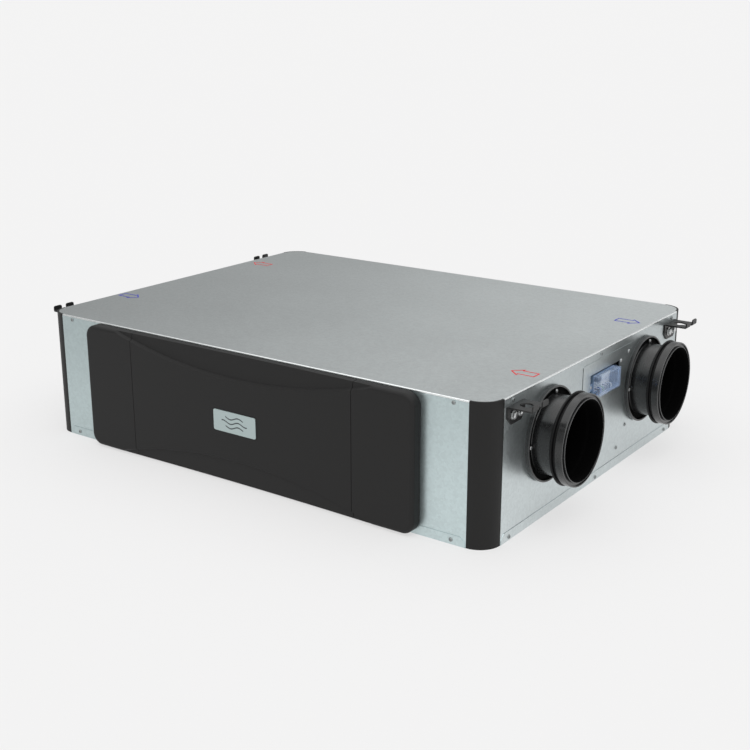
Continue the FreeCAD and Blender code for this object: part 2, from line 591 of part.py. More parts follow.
tools.append(local(box(-210, TUN_U0 + 4, TUN_V0 - 35, TUN_V0 + 35, EX_Z1 + 5, 222)))
# pocket for the electronics behind the right side panel, and the drain passage
tools.append(box(492.5, 520, -92, 92, 54, 214))
tools.append(cyl(DRAIN_R + 0.8, (-200, DRAIN_Y, DRAIN_Z), (-1, 0, 0), 330))
tools += [cyl(3.5, (sx * 500, y, z), (sx, 0, 0), 20) for sx, y, z in side_screws if z > 100]
tools += [cyl(3.5, (x, sy * 376, z), (0, sy, 0), 20) for sy, x, z in face_screws]
tools += [cyl(3.5, (sx * 500, y, z), (sx, 0, 0), 20) for sx, y, z in side_screws if z < 100]
foam = foam.cut(tools)
lower = foam.common(box(-600, 600, -500, 500, 0, FOAM_SPLIT))
upper = foam.common(box(-600, 600, -500, 500, FOAM_SPLIT + 0.2, 300))
save("foam_lower", *lower.Solids)
save("foam_upper", *upper.Solids)

# ---------------------------------------------------------------------------
# exchanger, its frame and the condensate tray
# ---------------------------------------------------------------------------
core = prism_z(hexagon(-9.0), EX_Z0 + 2.2, EX_Z1 - 2.2)
n_plates = 12
pitch = (EX_Z1 - EX_Z0 - 4.4) / n_plates
plates = [prism_z(hexagon(-4.5), EX_Z0 + 2.2 + i * pitch, EX_Z0 + 2.2 + i * pitch + 0.55 * pitch) for i in range(n_plates)]
pack = fuse([core] + plates)
save("exchanger_plate_pack", pack)
frame_s = [prism_z(hexagon(-0.5), EX_Z0, EX_Z0 + 2.0), prism_z(hexagon(-0.5), EX_Z1 - 2.0, EX_Z1)]
clip_hex = prism_z(hexagon(-0.5), EX_Z0, EX_Z1)
pack_room = prism_z(hexagon(-4.3), EX_Z0 + 2.0, EX_Z1 - 2.0)
for x, y in hexagon(-4.0):
    frame_s.append(cyl(9.0, (x, y, EX_Z0), (0, 0, 1), EX_Z1 - EX_Z0).common(clip_hex).cut(pack_room))
for sy in (1, -1):
    # closed side walls along the two flat sides
    frame_s.append(box(-EX_SHO + 2, EX_SHO - 2, min(sy * 145.8, sy * 149.5), max(sy * 145.8, sy * 149.5), EX_Z0, EX_Z1))
save("exchanger_frame", fuse(frame_s))

tray = prism_z(hexagon(1.0), CH_Z0 + 1.5, EX_Z0 - 0.4).cut(prism_z(hexagon(-1.5), CH_Z0 + 3.5, EX_Z0 + 1))
tray = tray.cut(cyl(DRAIN_R - 1.9, (-150, DRAIN_Y, DRAIN_Z), (-1, 0, 0), 80))
save("condensate_tray", tray)

SPOUT_X = 545.0
ang = math.atan2(EX_HALF, EX_APEX - EX_SHO)
apex_out = EX_APEX + 1.0 / math.sin(ang)
pipe = cyl(DRAIN_R - 0.6, (-(apex_out + 0.3), DRAIN_Y, DRAIN_Z), (-1, 0, 0), W / 2 - apex_out + 1.0)
flange = cyl(15.5, (-(W / 2 + 0.05), DRAIN_Y, DRAIN_Z), (-1, 0, 0), 3.0)
tail = cyl(DRAIN_R, (-(W / 2 + 2.0), DRAIN_Y, DRAIN_Z), (-1, 0, 0), SPOUT_X - W / 2 - 2.0)
spout = fuse([pipe, flange, tail]).cut(cyl(DRAIN_R - 2.0, (-190, DRAIN_Y, DRAIN_Z), (-1, 0, 0), 400))
save("drain_spout", spout)

# ---------------------------------------------------------------------------
# filter cassettes, pleated media in a frame, drawn out through the front
# ---------------------------------------------------------------------------
def filter_parts(sx):
    x0, x1 = sx * FI_X - FI_W / 2, sx * FI_X + FI_W / 2
    y0, y1 = -D / 2 + 1.0, -D / 2 + 1.0 + FI_L
    z0, z1 = FI_Z0, FI_Z0 + FI_H
    wall = 4.0
    fr = box(x0, x1, y0, y1, z0, z1).cut(box(x0 - 1, x1 + 1, y0 + wall, y1 - wall, z0 + wall, z1 - wall))
    # retaining borders on both faces
    rim = box(x0, x1, y0, y1, z0, z1).cut(box(x0 + 1.5, x1 - 1.5, y0 + 1, y1 - 1, z0 + 1, z1 - 1))
    rim = rim.cut(box(x0 - 1, x1 + 1, y0 + 12, y1 - 12, z0 + 12, z1 - 12))
    fr = fuse([fr, rim])
    # pull strap fixed to the front of the cassette
    strap = rounded_xz(sx * FI_X - 9, sx * FI_X + 9, z0 + 70, z0 + 118, 6, y0 - 4.5, y0 + 0.01)
    strap = strap.cut(box(sx * FI_X - 20, sx * FI_X + 20, y0 - 3.0, y0 - 0.02, z0 + 78, z0 + 110))
    fr = fuse([fr, strap])
    # media: zigzag pleats running along Z, folded along Y
    n = 20
    xa, xb = x0 + 5.0, x1 - 5.0
    ya, yb = y0 + wall + 0.4, y1 - wall - 0.4
    step = (yb - ya) / n
    t = 1.6                           # half thickness, measured across the cassette
    zig = [(xa if i % 2 == 0 else xb, ya + i * step) for i in range(n + 1)]
    media = prism_z([(x - t, y) for x, y in zig] + [(x + t, y) for x, y in zig[::-1]], z0 + wall + 0.3, z1 - wall - 0.3)
    return fr, media


for sx, nm in ((1, "right"), (-1, "left")):
    fr, media = filter_parts(sx)
    save("filter_frame_" + nm, fr)
    save("filter_media_" + nm, media)

# ---------------------------------------------------------------------------
# fans: scroll housing, external-rotor motor and backward-curved impeller
# ---------------------------------------------------------------------------
def fan(sx):
    z0, z1 = FAN_Z0, FAN_Z1
    out_x = CH_X - 2.0
    body = cyl(FAN_R, (FAN_X, FAN_Y, z0), (0, 0, 1), z1 - z0)
    duct = box(FAN_X, out_x, FAN_Y - FAN_R, FAN_Y, z0, z1)
    scroll = fuse([body, duct])
    t = 2.5
    inner = fuse([cyl(FAN_R - t, (FAN_X, FAN_Y, z0 + t), (0, 0, 1), z1 - z0 - 2 * t),
                  box(FAN_X, out_x + 1, FAN_Y - FAN_R + t, FAN_Y - t, z0 + t, z1 - t)])
    scroll = scroll.cut([inner, cyl(IMP_EYE + 2, (FAN_X, FAN_Y, z0 - 1), (0, 0, 1), 5)])
    # support feet down to the chamber floor
    feet = []
    for dx, dy in ((-70, -70), (70, 70), (-70, 70)):
        feet.append(cyl(8, (FAN_X + dx, FAN_Y + dy, CH_Z0 + 0.3), (0, 0, 1), z0 - CH_Z0 - 0.3 + 0.5))
    scroll = fuse([scroll] + feet)
    # motor: flange under the scroll's roof, stator and shaft
    zt = z1 - t - 0.05
    motor = fuse([cyl(42, (FAN_X, FAN_Y, zt - 4), (0, 0, 1), 4), cyl(30, (FAN_X, FAN_Y, zt - 30), (0, 0, 1), 27),
                  cyl(SHAFT_R, (FAN_X, FAN_Y, zt - 62), (0, 0, 1), 40)])
    # impeller with the rotor cup in its hub
    zd = zt - 42.0                    # underside of the backplate
    plate_s = cyl(IMP_R, (FAN_X, FAN_Y, zd), (0, 0, 1), 2.5)
    cup = cyl(40, (FAN_X, FAN_Y, zd), (0, 0, 1), 30).cut(cyl(34, (FAN_X, FAN_Y, zd + 5), (0, 0, 1), 40))
    hub = cyl(12, (FAN_X, FAN_Y, zd - 14), (0, 0, 1), 16)
    shroud_z = zd - 48.0
    shroud = cyl(IMP_R, (FAN_X, FAN_Y, shroud_z), (0, 0, 1), 2.5).cut(cyl(IMP_EYE, (FAN_X, FAN_Y, shroud_z - 1), (0, 0, 1), 5))
    pieces = [plate_s, cup, hub, shroud]
    for i in range(7):
        a0 = 2 * math.pi * i / 7
        pin, pout = [], []
        for k in range(7):
            f = k / 6.0
            r = 50 + (IMP_R - 1.0 - 50) * f
            a = a0 - 0.85 * f * f - 0.25 * f
            tn = 1.6
            pin.append((FAN_X + r * math.cos(a - tn / r), FAN_Y + r * math.sin(a - tn / r)))
            pout.append((FAN_X + r * math.cos(a + tn / r), FAN_Y + r * math.sin(a + tn / r)))
        pieces.append(prism_z(pin + pout[::-1], shroud_z + 1.0, zd + 1.0))
    imp = fuse(pieces).cut(cyl(SHAFT_R + 0.05, (FAN_X, FAN_Y, shroud_z - 5), (0, 0, 1), 90))
    out = [scroll, motor, imp]
    if sx < 0:
        out = [mirror_x(s) for s in out]
    return out


for sx, nm in ((1, "supply"), (-1, "exhaust")):
    scroll, motor, imp = fan(sx)
    save(nm + "_fan_scroll", scroll)
    save(nm + "_fan_motor", motor)
    save(nm + "_fan_impeller", imp)

# ---------------------------------------------------------------------------
# bypass damper at the mouth of the bypass duct
# ---------------------------------------------------------------------------
U0, V0 = TUN_U0 + 3.0, TUN_V0
SH_R = 2.0
ZH = 217.5
FL_V = 33.0
fr = box(U0, U0 + 2.5, V0 - 42, V0 + 42, 190.5, 224.5).cut(box(U0 - 1, U0 + 4, V0 - 32, V0 + 32, 195, 220))
ears = [box(U0 + 2.4, U0 + 10, V0 + s * 39 - 1.5, V0 + s * 39 + 1.5, 208, 224) for s in (1, -1)]
fr = fuse([fr] + ears).cut(cyl(SH_R + 0.05, (U0 + 6, V0 - 60, ZH), (0, 1, 0), 120))
save("bypass_frame", local(fr))
flap = box(U0 + 5.0, U0 + 7.0, V0 - FL_V, V0 + FL_V, 193.5, ZH)
shaft = cyl(SH_R, (U0 + 6, V0 - 50, ZH), (0, 1, 0), 92)
save("bypass_flap", local(fuse([flap, shaft])))
act = box(U0 + 0.5, U0 + 26, V0 - 84, V0 - 42.3, 200, 224).cut(cyl(SH_R + 0.05, (U0 + 6, V0 - 51, ZH), (0, 1, 0), 20))
save("bypass_actuator", local(act))
for nm, p in (("hinge point", V(U0 + 6, V0, ZH)),):
    q = TUN_PL.multVec(p)
    print(nm, round(q.x, 3), round(q.y, 3), round(q.z, 3), "axis", [round(c, 6) for c in (TUN_V.x, TUN_V.y, TUN_V.z)])

# ---------------------------------------------------------------------------
# flow direction labels on the top sheet: outlined arrows
# ---------------------------------------------------------------------------
def arrow(x_tip, y_c, sx, length=50.0, width=36.0, shaft=22.0, head=20.0, line=1.3, t=0.2):
    """Outlined arrow pointing along sx, its tip at x_tip."""
    def shape(d):
        # polygon inset by d
        k = math.hypot(head, width / 2) / (width / 2)
        tip = x_tip - sx * d * k
        slope = (width / 2) / head
        xb = x_tip - sx * (head - d)
        wy = (head - d - d * k) * slope
        xe = x_tip - sx * (length - d)
        sh = shaft / 2 - d
        xb2 = x_tip - sx * head + sx * d
        return [(tip, y_c), (xb2, y_c + wy), (xb2, y_c + sh), (xe, y_c + sh), (xe, y_c - sh), (xb2, y_c - sh), (xb2, y_c - wy)]
    return prism_z(shape(0.0), H, H + t).cut(prism_z(shape(line), H - 1, H + 1))


red = [arrow(444.0, -207.0, -1), arrow(-492.0, 212.0, -1)]
blue = [arrow(492.0, 214.0, 1), arrow(-452.0, -200.0, 1)]
save("flow_arrows_red", *red)
save("flow_arrows_blue", *blue)
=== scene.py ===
import bpy
import bmesh
import json
import math
from mathutils import Matrix, Vector


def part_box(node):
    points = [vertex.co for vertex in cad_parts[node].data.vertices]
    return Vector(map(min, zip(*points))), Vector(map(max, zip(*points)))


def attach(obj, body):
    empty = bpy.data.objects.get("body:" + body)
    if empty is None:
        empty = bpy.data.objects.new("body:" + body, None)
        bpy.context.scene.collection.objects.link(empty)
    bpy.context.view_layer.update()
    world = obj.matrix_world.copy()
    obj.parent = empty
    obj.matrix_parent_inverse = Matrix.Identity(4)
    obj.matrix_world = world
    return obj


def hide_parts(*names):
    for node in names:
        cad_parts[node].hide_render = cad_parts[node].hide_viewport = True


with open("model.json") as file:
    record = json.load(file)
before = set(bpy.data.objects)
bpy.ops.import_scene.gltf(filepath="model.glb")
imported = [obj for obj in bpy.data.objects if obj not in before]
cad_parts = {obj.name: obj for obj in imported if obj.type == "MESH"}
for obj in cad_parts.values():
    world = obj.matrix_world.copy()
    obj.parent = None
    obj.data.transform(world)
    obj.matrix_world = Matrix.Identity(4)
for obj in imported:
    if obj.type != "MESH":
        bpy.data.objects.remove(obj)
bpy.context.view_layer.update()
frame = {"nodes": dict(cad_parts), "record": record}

NODES = frame["nodes"]
scene = bpy.context.scene
scene.view_settings.view_transform = "Standard"
scene.view_settings.look = "None"
scene.view_settings.exposure = 0.0
scene.view_settings.gamma = 1.0


# ---------------------------------------------------------------------------
# camera
# ---------------------------------------------------------------------------
AZ, EL = math.radians(35.59), math.radians(17.13)
cam_data = bpy.data.cameras.new("camera")
cam_data.sensor_width = 36.0
cam_data.lens = 57.56
cam_data.clip_start = 0.01
cam_data.clip_end = 2000.0
cam = bpy.data.objects.new("camera", cam_data)
scene.collection.objects.link(cam)
right = Vector((math.cos(AZ), math.sin(AZ), 0))
back = Vector((math.sin(AZ) * math.cos(EL), -math.cos(AZ) * math.cos(EL), math.sin(EL)))
up = back.cross(right)
rot = Matrix((right, up, back)).transposed().to_4x4()
cam.matrix_world = Matrix.Translation((1.3807, -1.9080, 0.8363)) @ rot
scene.camera = cam


# ---------------------------------------------------------------------------
# material helpers
# ---------------------------------------------------------------------------
class Mat:
    """A principled material with a few shorthand calls for its node tree."""

    def __init__(self, name, base, rough=0.5, metal=0.0, spec=0.5, **sockets):
        self.m = bpy.data.materials.new(name)
        self.m.use_nodes = True
        self.nt = self.m.node_tree
        self.nt.nodes.clear()
        self.out = self.nt.nodes.new("ShaderNodeOutputMaterial")
        self.b = self.nt.nodes.new("ShaderNodeBsdfPrincipled")
        self.nt.links.new(self.b.outputs["BSDF"], self.out.inputs["Surface"])
        self.b.inputs["Base Color"].default_value = (*base, 1.0)
        self.b.inputs["Roughness"].default_value = rough
        self.b.inputs["Metallic"].default_value = metal
        self.b.inputs["Specular IOR Level"].default_value = spec
        for k, v in sockets.items():
            self.b.inputs[k.replace("_", " ")].default_value = v
        self.base = base
        self.rough = rough
        self.tc = self.nt.nodes.new("ShaderNodeTexCoord")

    def link(self, a, b):
        self.nt.links.new(a, b)

    def mapping(self, scale=(1, 1, 1), rot=(0, 0, 0)):
        n = self.nt.nodes.new("ShaderNodeMapping")
        n.inputs["Scale"].default_value = scale
        n.inputs["Rotation"].default_value = rot
        self.link(self.tc.outputs["Object"], n.inputs["Vector"])
        return n.outputs["Vector"]

    def noise(self, scale, detail=2.0, rough=0.5, vec=None, distortion=0.0):
        n = self.nt.nodes.new("ShaderNodeTexNoise")
        n.inputs["Scale"].default_value = scale
        n.inputs["Detail"].default_value = detail
        n.inputs["Roughness"].default_value = rough
        n.inputs["Distortion"].default_value = distortion
        self.link(vec or self.tc.outputs["Object"], n.inputs["Vector"])
        return n.outputs["Fac"]

    def voronoi(self, scale, vec=None, feature="F1", out="Color", randomness=1.0):
        n = self.nt.nodes.new("ShaderNodeTexVoronoi")
        n.feature = feature
        n.inputs["Scale"].default_value = scale
        n.inputs["Randomness"].default_value = randomness
        self.link(vec or self.tc.outputs["Object"], n.inputs["Vector"])
        return n.outputs[out]

    def remap(self, value, lo, hi, a=0.0, b=1.0):
        n = self.nt.nodes.new("ShaderNodeMapRange")
        n.inputs["From Min"].default_value = a
        n.inputs["From Max"].default_value = b
        n.inputs["To Min"].default_value = lo
        n.inputs["To Max"].default_value = hi
        self.link(value, n.inputs["Value"])
        return n.outputs["Result"]

    def math(self, op, a, b):
        n = self.nt.nodes.new("ShaderNodeMath")
        n.operation = op
        for i, v in enumerate((a, b)):
            if isinstance(v, (int, float)):
                n.inputs[i].default_value = v
            else:
                self.link(v, n.inputs[i])
        return n.outputs[0]

    def along(self, axis, stops):
        """A factor that runs through (position, value) stops along one axis of the row frame, in metres."""
        sep = self.nt.nodes.new("ShaderNodeSeparateXYZ")
        self.link(self.tc.outputs["Object"], sep.inputs[0])
        ramp = self.nt.nodes.new("ShaderNodeMapRange")
        ramp.interpolation_type = "SMOOTHSTEP"
        (a, va), (b, vb) = stops
        ramp.inputs["From Min"].default_value = a
        ramp.inputs["From Max"].default_value = b
        ramp.inputs["To Min"].default_value = va
        ramp.inputs["To Max"].default_value = vb
        self.link(sep.outputs[axis], ramp.inputs["Value"])
        return ramp.outputs["Result"]

    def scale_base(self, factor):
        """Multiply what feeds the base colour by a factor."""
        old = self.b.inputs["Base Color"].links[0].from_socket
        n = self.nt.nodes.new("ShaderNodeVectorMath")
        n.operation = "SCALE"
        self.link(old, n.inputs[0])
        self.link(factor, n.inputs["Scale"])
        self.link(n.outputs["Vector"], self.b.inputs["Base Color"])

    def tint(self, factor, lo, hi):
        """Base colour runs from base*lo to base*hi with factor 0..1."""
        n = self.nt.nodes.new("ShaderNodeMix")
        n.data_type = "RGBA"
        n.inputs["A"].default_value = (*(c * lo for c in self.base), 1.0)
        n.inputs["B"].default_value = (*(c * hi for c in self.base), 1.0)
        self.link(factor, n.inputs["Factor"])
        self.link(n.outputs["Result"], self.b.inputs["Base Color"])
        return n

    def roughness(self, value):
        self.link(value, self.b.inputs["Roughness"])

    def bump(self, height, strength=0.2, distance=0.001, normal=None):
        n = self.nt.nodes.new("ShaderNodeBump")
        n.inputs["Strength"].default_value = strength
        n.inputs["Distance"].default_value = distance
        self.link(height, n.inputs["Height"])
        if normal is not None:
            self.link(normal, n.inputs["Normal"])
        self.link(n.outputs["Normal"], self.b.inputs["Normal"])
        return n.outputs["Normal"]


def galvanised(name, base=(0.60, 0.645, 0.645), rough=0.36, metal=0.92, painted_shading=()):
    """Hot-dip galvanised sheet: small spangles of slightly different tone, and a fine rolled grain; optional
    gradients along the part's axes paint light and shade into the base colour.
    """
    m = Mat(name, base, rough, metal=metal, spec=0.5)
    cells = m.voronoi(230.0, out="Color")
    sep = m.nt.nodes.new("ShaderNodeSeparateColor")
    m.link(cells, sep.inputs["Color"])
    wide = m.noise(5.0, 3.0, 0.55)
    fine = m.noise(900.0, 2.0, 0.6)
    tone = m.math("ADD", m.math("MULTIPLY", sep.outputs["Red"], 0.50),
                  m.math("ADD", m.math("MULTIPLY", wide, 0.30), m.math("MULTIPLY", fine, 0.35)))
    m.tint(tone, 0.90, 1.08)
    rg = m.math("ADD", m.remap(sep.outputs["Green"], rough - 0.035, rough + 0.035), m.remap(wide, -0.03, 0.03))
    m.roughness(rg)
    h = m.math("ADD", m.math("MULTIPLY", sep.outputs["Blue"], 0.35), m.math("MULTIPLY", fine, 0.65))
    m.bump(h, 0.10, 0.00025)
    # painted light and shade: the base colour is scaled darker or lighter along the given axes, standing in for how
    # light falls across the face
    for axis, stops in painted_shading:
        m.scale_base(m.along(axis, stops))
    return m.m


def moulded_black(name, base, rough, spec, grain=2200.0, depth=0.00012, strength=0.35, **k):
    """Black plastic or powder coat with an eroded grain."""
    m = Mat(name, base, rough, spec=spec, **k)
    g = m.noise(grain, 3.0, 0.6)
    wide = m.noise(14.0, 3.0, 0.5)
    m.tint(m.math("ADD", m.math("MULTIPLY", g, 0.6), m.math("MULTIPLY", wide, 0.4)), 0.72, 1.32)
    m.roughness(m.math("ADD", m.remap(g, rough - 0.06, rough + 0.06), m.remap(wide, -0.03, 0.03)))
    m.bump(g, strength, depth)
    return m.m


M = {}
M["galvanised_sheet"] = galvanised("galvanised_sheet")
# painted light and shade: the top, front and side sheets are lit and shaded copies of one galvanised sheet, each with
# its own base tint and gradients for how light falls on that face
M["galvanised_top_painted_light"] = galvanised("galvanised_top_painted_light", (0.585, 0.617, 0.617), 0.36, painted_shading=[("X", ((-0.54, 0.74), (0.45, 1.08))), ("Y", ((-0.38, 0.97), (0.38, 1.06)))])
M["galvanised_front_painted_light"] = galvanised("galvanised_front_painted_light", (0.535, 0.625, 0.632), 0.34,
                                   painted_shading=[("X", ((-0.50, 0.84), (0.40, 1.03))), ("Z", ((0.25, 0.92), (0.05, 1.10)))])
M["galvanised_side_painted_light"] = galvanised("galvanised_side_painted_light", (0.565, 0.615, 0.622), 0.33, metal=0.97,
                                  painted_shading=[("Y", ((-0.335, 1.08), (-0.10, 0.98))), ("Z", ((0.24, 0.90), (0.03, 1.08)))])
# painted highlight: a bright, glossy copy of the sheet for the folded edge of the top sheet, darker towards the left
M["galvanised_hem_painted_highlight"] = galvanised("galvanised_hem_painted_highlight", (0.93, 0.955, 0.955), 0.22, metal=0.95, painted_shading=[("X", ((-0.52, 0.72), (0.40, 1.0)))])
M["black_profile"] = moulded_black("black_profile", (0.0108, 0.0105, 0.0103), 0.55, 0.28, grain=1500.0)
M["black_moulding"] = moulded_black("black_moulding", (0.0122, 0.0119, 0.0118), 0.58, 0.28, grain=1900.0)
M["black_bracket"] = moulded_black("black_bracket", (0.011, 0.011, 0.011), 0.42, 0.45, grain=1400.0)
M["dark_plastic"] = moulded_black("dark_plastic", (0.022, 0.022, 0.024), 0.42, 0.5, grain=1200.0)
M["grey_plastic"] = moulded_black("grey_plastic", (0.20, 0.29, 0.43), 0.36, 0.5, grain=1200.0)
M["fan_plastic"] = moulded_black("fan_plastic", (0.03, 0.033, 0.036), 0.34, 0.5, grain=900.0)


def spigot_plastic():
    """Glossy injection-moulded black, with faint flow streaks that run round the tube."""
    m = Mat("spigot_plastic", (0.0105, 0.0108, 0.0112), 0.26, spec=0.55)
    wide = m.noise(30.0, 3.0, 0.55, distortion=0.8)
    streak = m.noise(9.0, 3.0, 0.6, vec=m.mapping((14.0, 1.0, 1.0)))
    g = m.noise(1400.0, 2.0, 0.5)
    mixed = m.math("ADD", m.math("MULTIPLY", wide, 0.5), m.math("MULTIPLY", streak, 0.5))
    m.tint(mixed, 0.55, 1.5)
    m.roughness(m.math("ADD", m.remap(mixed, 0.16, 0.42, 0.25, 0.75), m.remap(g, -0.02, 0.02)))
    m.bump(m.math("ADD", m.math("MULTIPLY", streak, 0.8), m.math("MULTIPLY", g, 0.2)), 0.16, 0.00025)
    m.b.inputs["Coat Weight"].default_value = 0.25
    m.b.inputs["Coat Roughness"].default_value = 0.18
    return m.m


def seal_rubber():
    m = Mat("seal_rubber", (0.0045, 0.0045, 0.0048), 0.5, spec=0.22)
    wide = m.noise(40.0, 3.0, 0.5)
    g = m.noise(1000.0, 3.0, 0.6)
    m.tint(wide, 0.8, 1.3)
    m.roughness(m.remap(wide, 0.38, 0.55))
    m.bump(g, 0.25, 0.00012)
    return m.m


M["spigot_plastic"] = spigot_plastic()
# painted highlight: a lighter, glossier black for the spigots' end lips and flange rims
M["spigot_edge_painted_highlight"] = moulded_black("spigot_edge_painted_highlight", (0.045, 0.045, 0.046), 0.30, 0.6, grain=1400.0)
# painted shade: near-black for the spigots' bores and the recesses behind their flange rims
M["bore_painted_shade"] = moulded_black("bore_painted_shade", (0.0012, 0.0012, 0.0012), 0.85, 0.05, grain=900.0)
M["seal_rubber"] = seal_rubber()


def zinc():
    m = Mat("zinc_steel", (0.62, 0.63, 0.63), 0.28, metal=1.0)
    w = m.noise(420.0, 3.0, 0.6)
    m.tint(w, 0.78, 1.08)
    m.roughness(m.remap(w, 0.20, 0.38))
    m.bump(w, 0.12, 0.00008)
    return m.m


def screw_zinc():
    m = Mat("screw_zinc", (0.36, 0.38, 0.38), 0.34, metal=1.0)
    w = m.noise(600.0, 3.0, 0.6)
    m.tint(w, 0.75, 1.1)
    m.roughness(m.remap(w, 0.26, 0.42))
    m.bump(w, 0.12, 0.00008)
    return m.m


M["zinc_steel"] = zinc()
M["screw_zinc"] = screw_zinc()


def badge():
    m = Mat("silver_badge", (0.45, 0.532, 0.53), 0.34, metal=0.9)
    brushed = m.noise(60.0, 4.0, 0.6, vec=m.mapping((1.0, 1.0, 60.0)))
    m.tint(brushed, 0.92, 1.07)
    m.roughness(m.remap(brushed, 0.28, 0.42))
    # printed motif: three wavy lines of moving air, drawn from the place on the plate
    sep = m.nt.nodes.new("ShaderNodeSeparateXYZ")
    m.link(m.tc.outputs["Object"], sep.inputs[0])
    x, z = sep.outputs["X"], sep.outputs["Z"]
    wave = m.math("MULTIPLY", m.math("SINE", m.math("MULTIPLY", x, 175.0), 0.0), 0.0026)
    lines = None
    for zc, half in ((0.1305, 0.021), (0.1220, 0.030), (0.1135, 0.021)):
        d = m.math("ABSOLUTE", m.math("SUBTRACT", m.math("SUBTRACT", z, zc), wave), 0.0)
        inside = m.math("LESS_THAN", d, 0.00115)
        inside = m.math("MULTIPLY", inside, m.math("LESS_THAN", m.math("ABSOLUTE", x, 0.0), half))
        lines = inside if lines is None else m.math("MAXIMUM", lines, inside)
    ink = m.nt.nodes.new("ShaderNodeMix")
    ink.data_type = "RGBA"
    old = m.b.inputs["Base Color"].links[0].from_socket
    m.link(old, ink.inputs["A"])
    ink.inputs["B"].default_value = (0.035, 0.045, 0.05, 1.0)
    m.link(lines, ink.inputs["Factor"])
    m.link(ink.outputs["Result"], m.b.inputs["Base Color"])
    m.link(m.math("SUBTRACT", 0.9, m.math("MULTIPLY", lines, 0.9)), m.b.inputs["Metallic"])
    h = m.math("SUBTRACT", m.math("MULTIPLY", brushed, 0.25), m.math("MULTIPLY", lines, 1.0))
    m.bump(h, 0.25, 0.0002)
    return m.m


M["silver_badge"] = badge()


def clear_plastic():
    m = Mat("clear_plastic", (0.50, 0.66, 0.95), 0.08, spec=0.7)
    m.b.inputs["IOR"].default_value = 1.58
    m.b.inputs["Alpha"].default_value = 0.24
    m.b.inputs["Coat Weight"].default_value = 0.6
    m.b.inputs["Coat Roughness"].default_value = 0.06
    w = m.noise(120.0, 3.0, 0.5)
    m.tint(w, 0.92, 1.06)
    m.roughness(m.remap(w, 0.05, 0.14))
    m.bump(w, 0.05, 0.0002)
    return m.m


M["clear_plastic"] = clear_plastic()


def simple(name, base, rough, grain, lo=0.85, hi=1.12, metal=0.0, spec=0.5, strength=0.2, depth=0.0002, detail=3.0):
    m = Mat(name, base, rough, metal=metal, spec=spec)
    g = m.noise(grain, detail, 0.55)
    m.tint(g, lo, hi)
    m.roughness(m.remap(g, max(0.05, rough - 0.07), min(1.0, rough + 0.07)))
    m.bump(g, strength, depth)
    return m.m


M["light_plastic"] = simple("light_plastic", (0.62, 0.63, 0.62), 0.42, 700.0)
M["circuit_board"] = simple("circuit_board", (0.02, 0.13, 0.06), 0.35, 300.0, 0.7, 1.3)
M["exchanger_plates"] = simple("exchanger_plates", (0.70, 0.73, 0.73), 0.35, 260.0, 0.85, 1.1)
M["motor_metal"] = simple("motor_metal", (0.36, 0.37, 0.38), 0.4, 500.0, metal=0.9)
M["red_ink"] = simple("red_ink", (0.66, 0.0, 0.008), 0.7, 900.0, 0.85, 1.15)
M["blue_ink"] = simple("blue_ink", (0.0, 0.006, 0.42), 0.7, 900.0, 0.85, 1.15)


def foam():
    """Fused foam beads."""
    m = Mat("moulded_foam", (0.010, 0.010, 0.011), 0.8, spec=0.15)
    d = m.voronoi(240.0, feature="F1", out="Distance")
    m.tint(m.remap(d, 1.0, 0.0, 0.0, 0.8), 0.6, 1.5)
    m.bump(m.remap(d, 1.0, 0.0, 0.0, 0.7), 0.6, 0.0008)
    return m.m


def fleece():
    m = Mat("filter_fleece", (0.80, 0.82, 0.80), 0.85, spec=0.2)
    g = m.noise(900.0, 5.0, 0.7)
    m.tint(g, 0.75, 1.1)
    m.bump(g, 0.6, 0.0006)
    return m.m


WIRES = {"brown": (0.10, 0.035, 0.012), "blue": (0.01, 0.05, 0.35), "green": (0.03, 0.22, 0.03), "black": (0.01, 0.01, 0.01),
         "grey": (0.22, 0.22, 0.22), "white": (0.7, 0.7, 0.68)}
for wire_name, wire_colour in WIRES.items():
    M["wire_" + wire_name] = simple("wire_" + wire_name, wire_colour, 0.4, 800.0)
M["moulded_foam"] = foam()
M["filter_fleece"] = fleece()

slot_of = {s["node"]: s["material_slot"] for s in frame["record"]["subparts"]}
for name, o in NODES.items():
    key = slot_of[name]
    if name in ("casing_screws",):
        key = "screw_zinc"
    # the top, front and side sheets take the painted-light copies of the galvanised sheet
    if name == "top_panel":
        key = "galvanised_top_painted_light"
    if name in ("front_panel", "bottom_cover"):
        key = "galvanised_front_painted_light"
    if name in ("right_side_panel", "left_side_panel", "access_plate"):
        key = "galvanised_side_painted_light"
    o.data.materials.clear()
    o.data.materials.append(M[key])


# ---------------------------------------------------------------------------
# a weld-and-bevel helper for the carried-over nodes, and per-face materials on them
# ---------------------------------------------------------------------------
def dress(o, angle=28.0, bevel=None, segments=2, weld=0.00002):
    me = o.data
    w = o.modifiers.new("weld", "WELD")
    w.merge_threshold = weld
    if bevel:
        b = o.modifiers.new("edge", "BEVEL")
        b.width = bevel
        b.segments = segments
        b.limit_method = "ANGLE"
        b.angle_limit = math.radians(angle)
        b.harden_normals = False
        b.use_clamp_overlap = True
        b.miter_outer = "MITER_ARC"
    return o


# the folded edge of the top sheet gets a bright, glossy copy of the sheet as a painted highlight; the cover's side
# lips take the side sheets' painted light and shade
me = NODES["top_panel"].data
me.materials.append(M["galvanised_hem_painted_highlight"])
for f in me.polygons:
    if f.center.z > 0.2472 and f.normal.z < 0.985 and f.normal.z > -0.2:
        f.material_index = 1
me = NODES["bottom_cover"].data
me.materials.append(M["galvanised_side_painted_light"])
for f in me.polygons:
    if abs(f.center.x) > 0.5115:
        f.material_index = 1

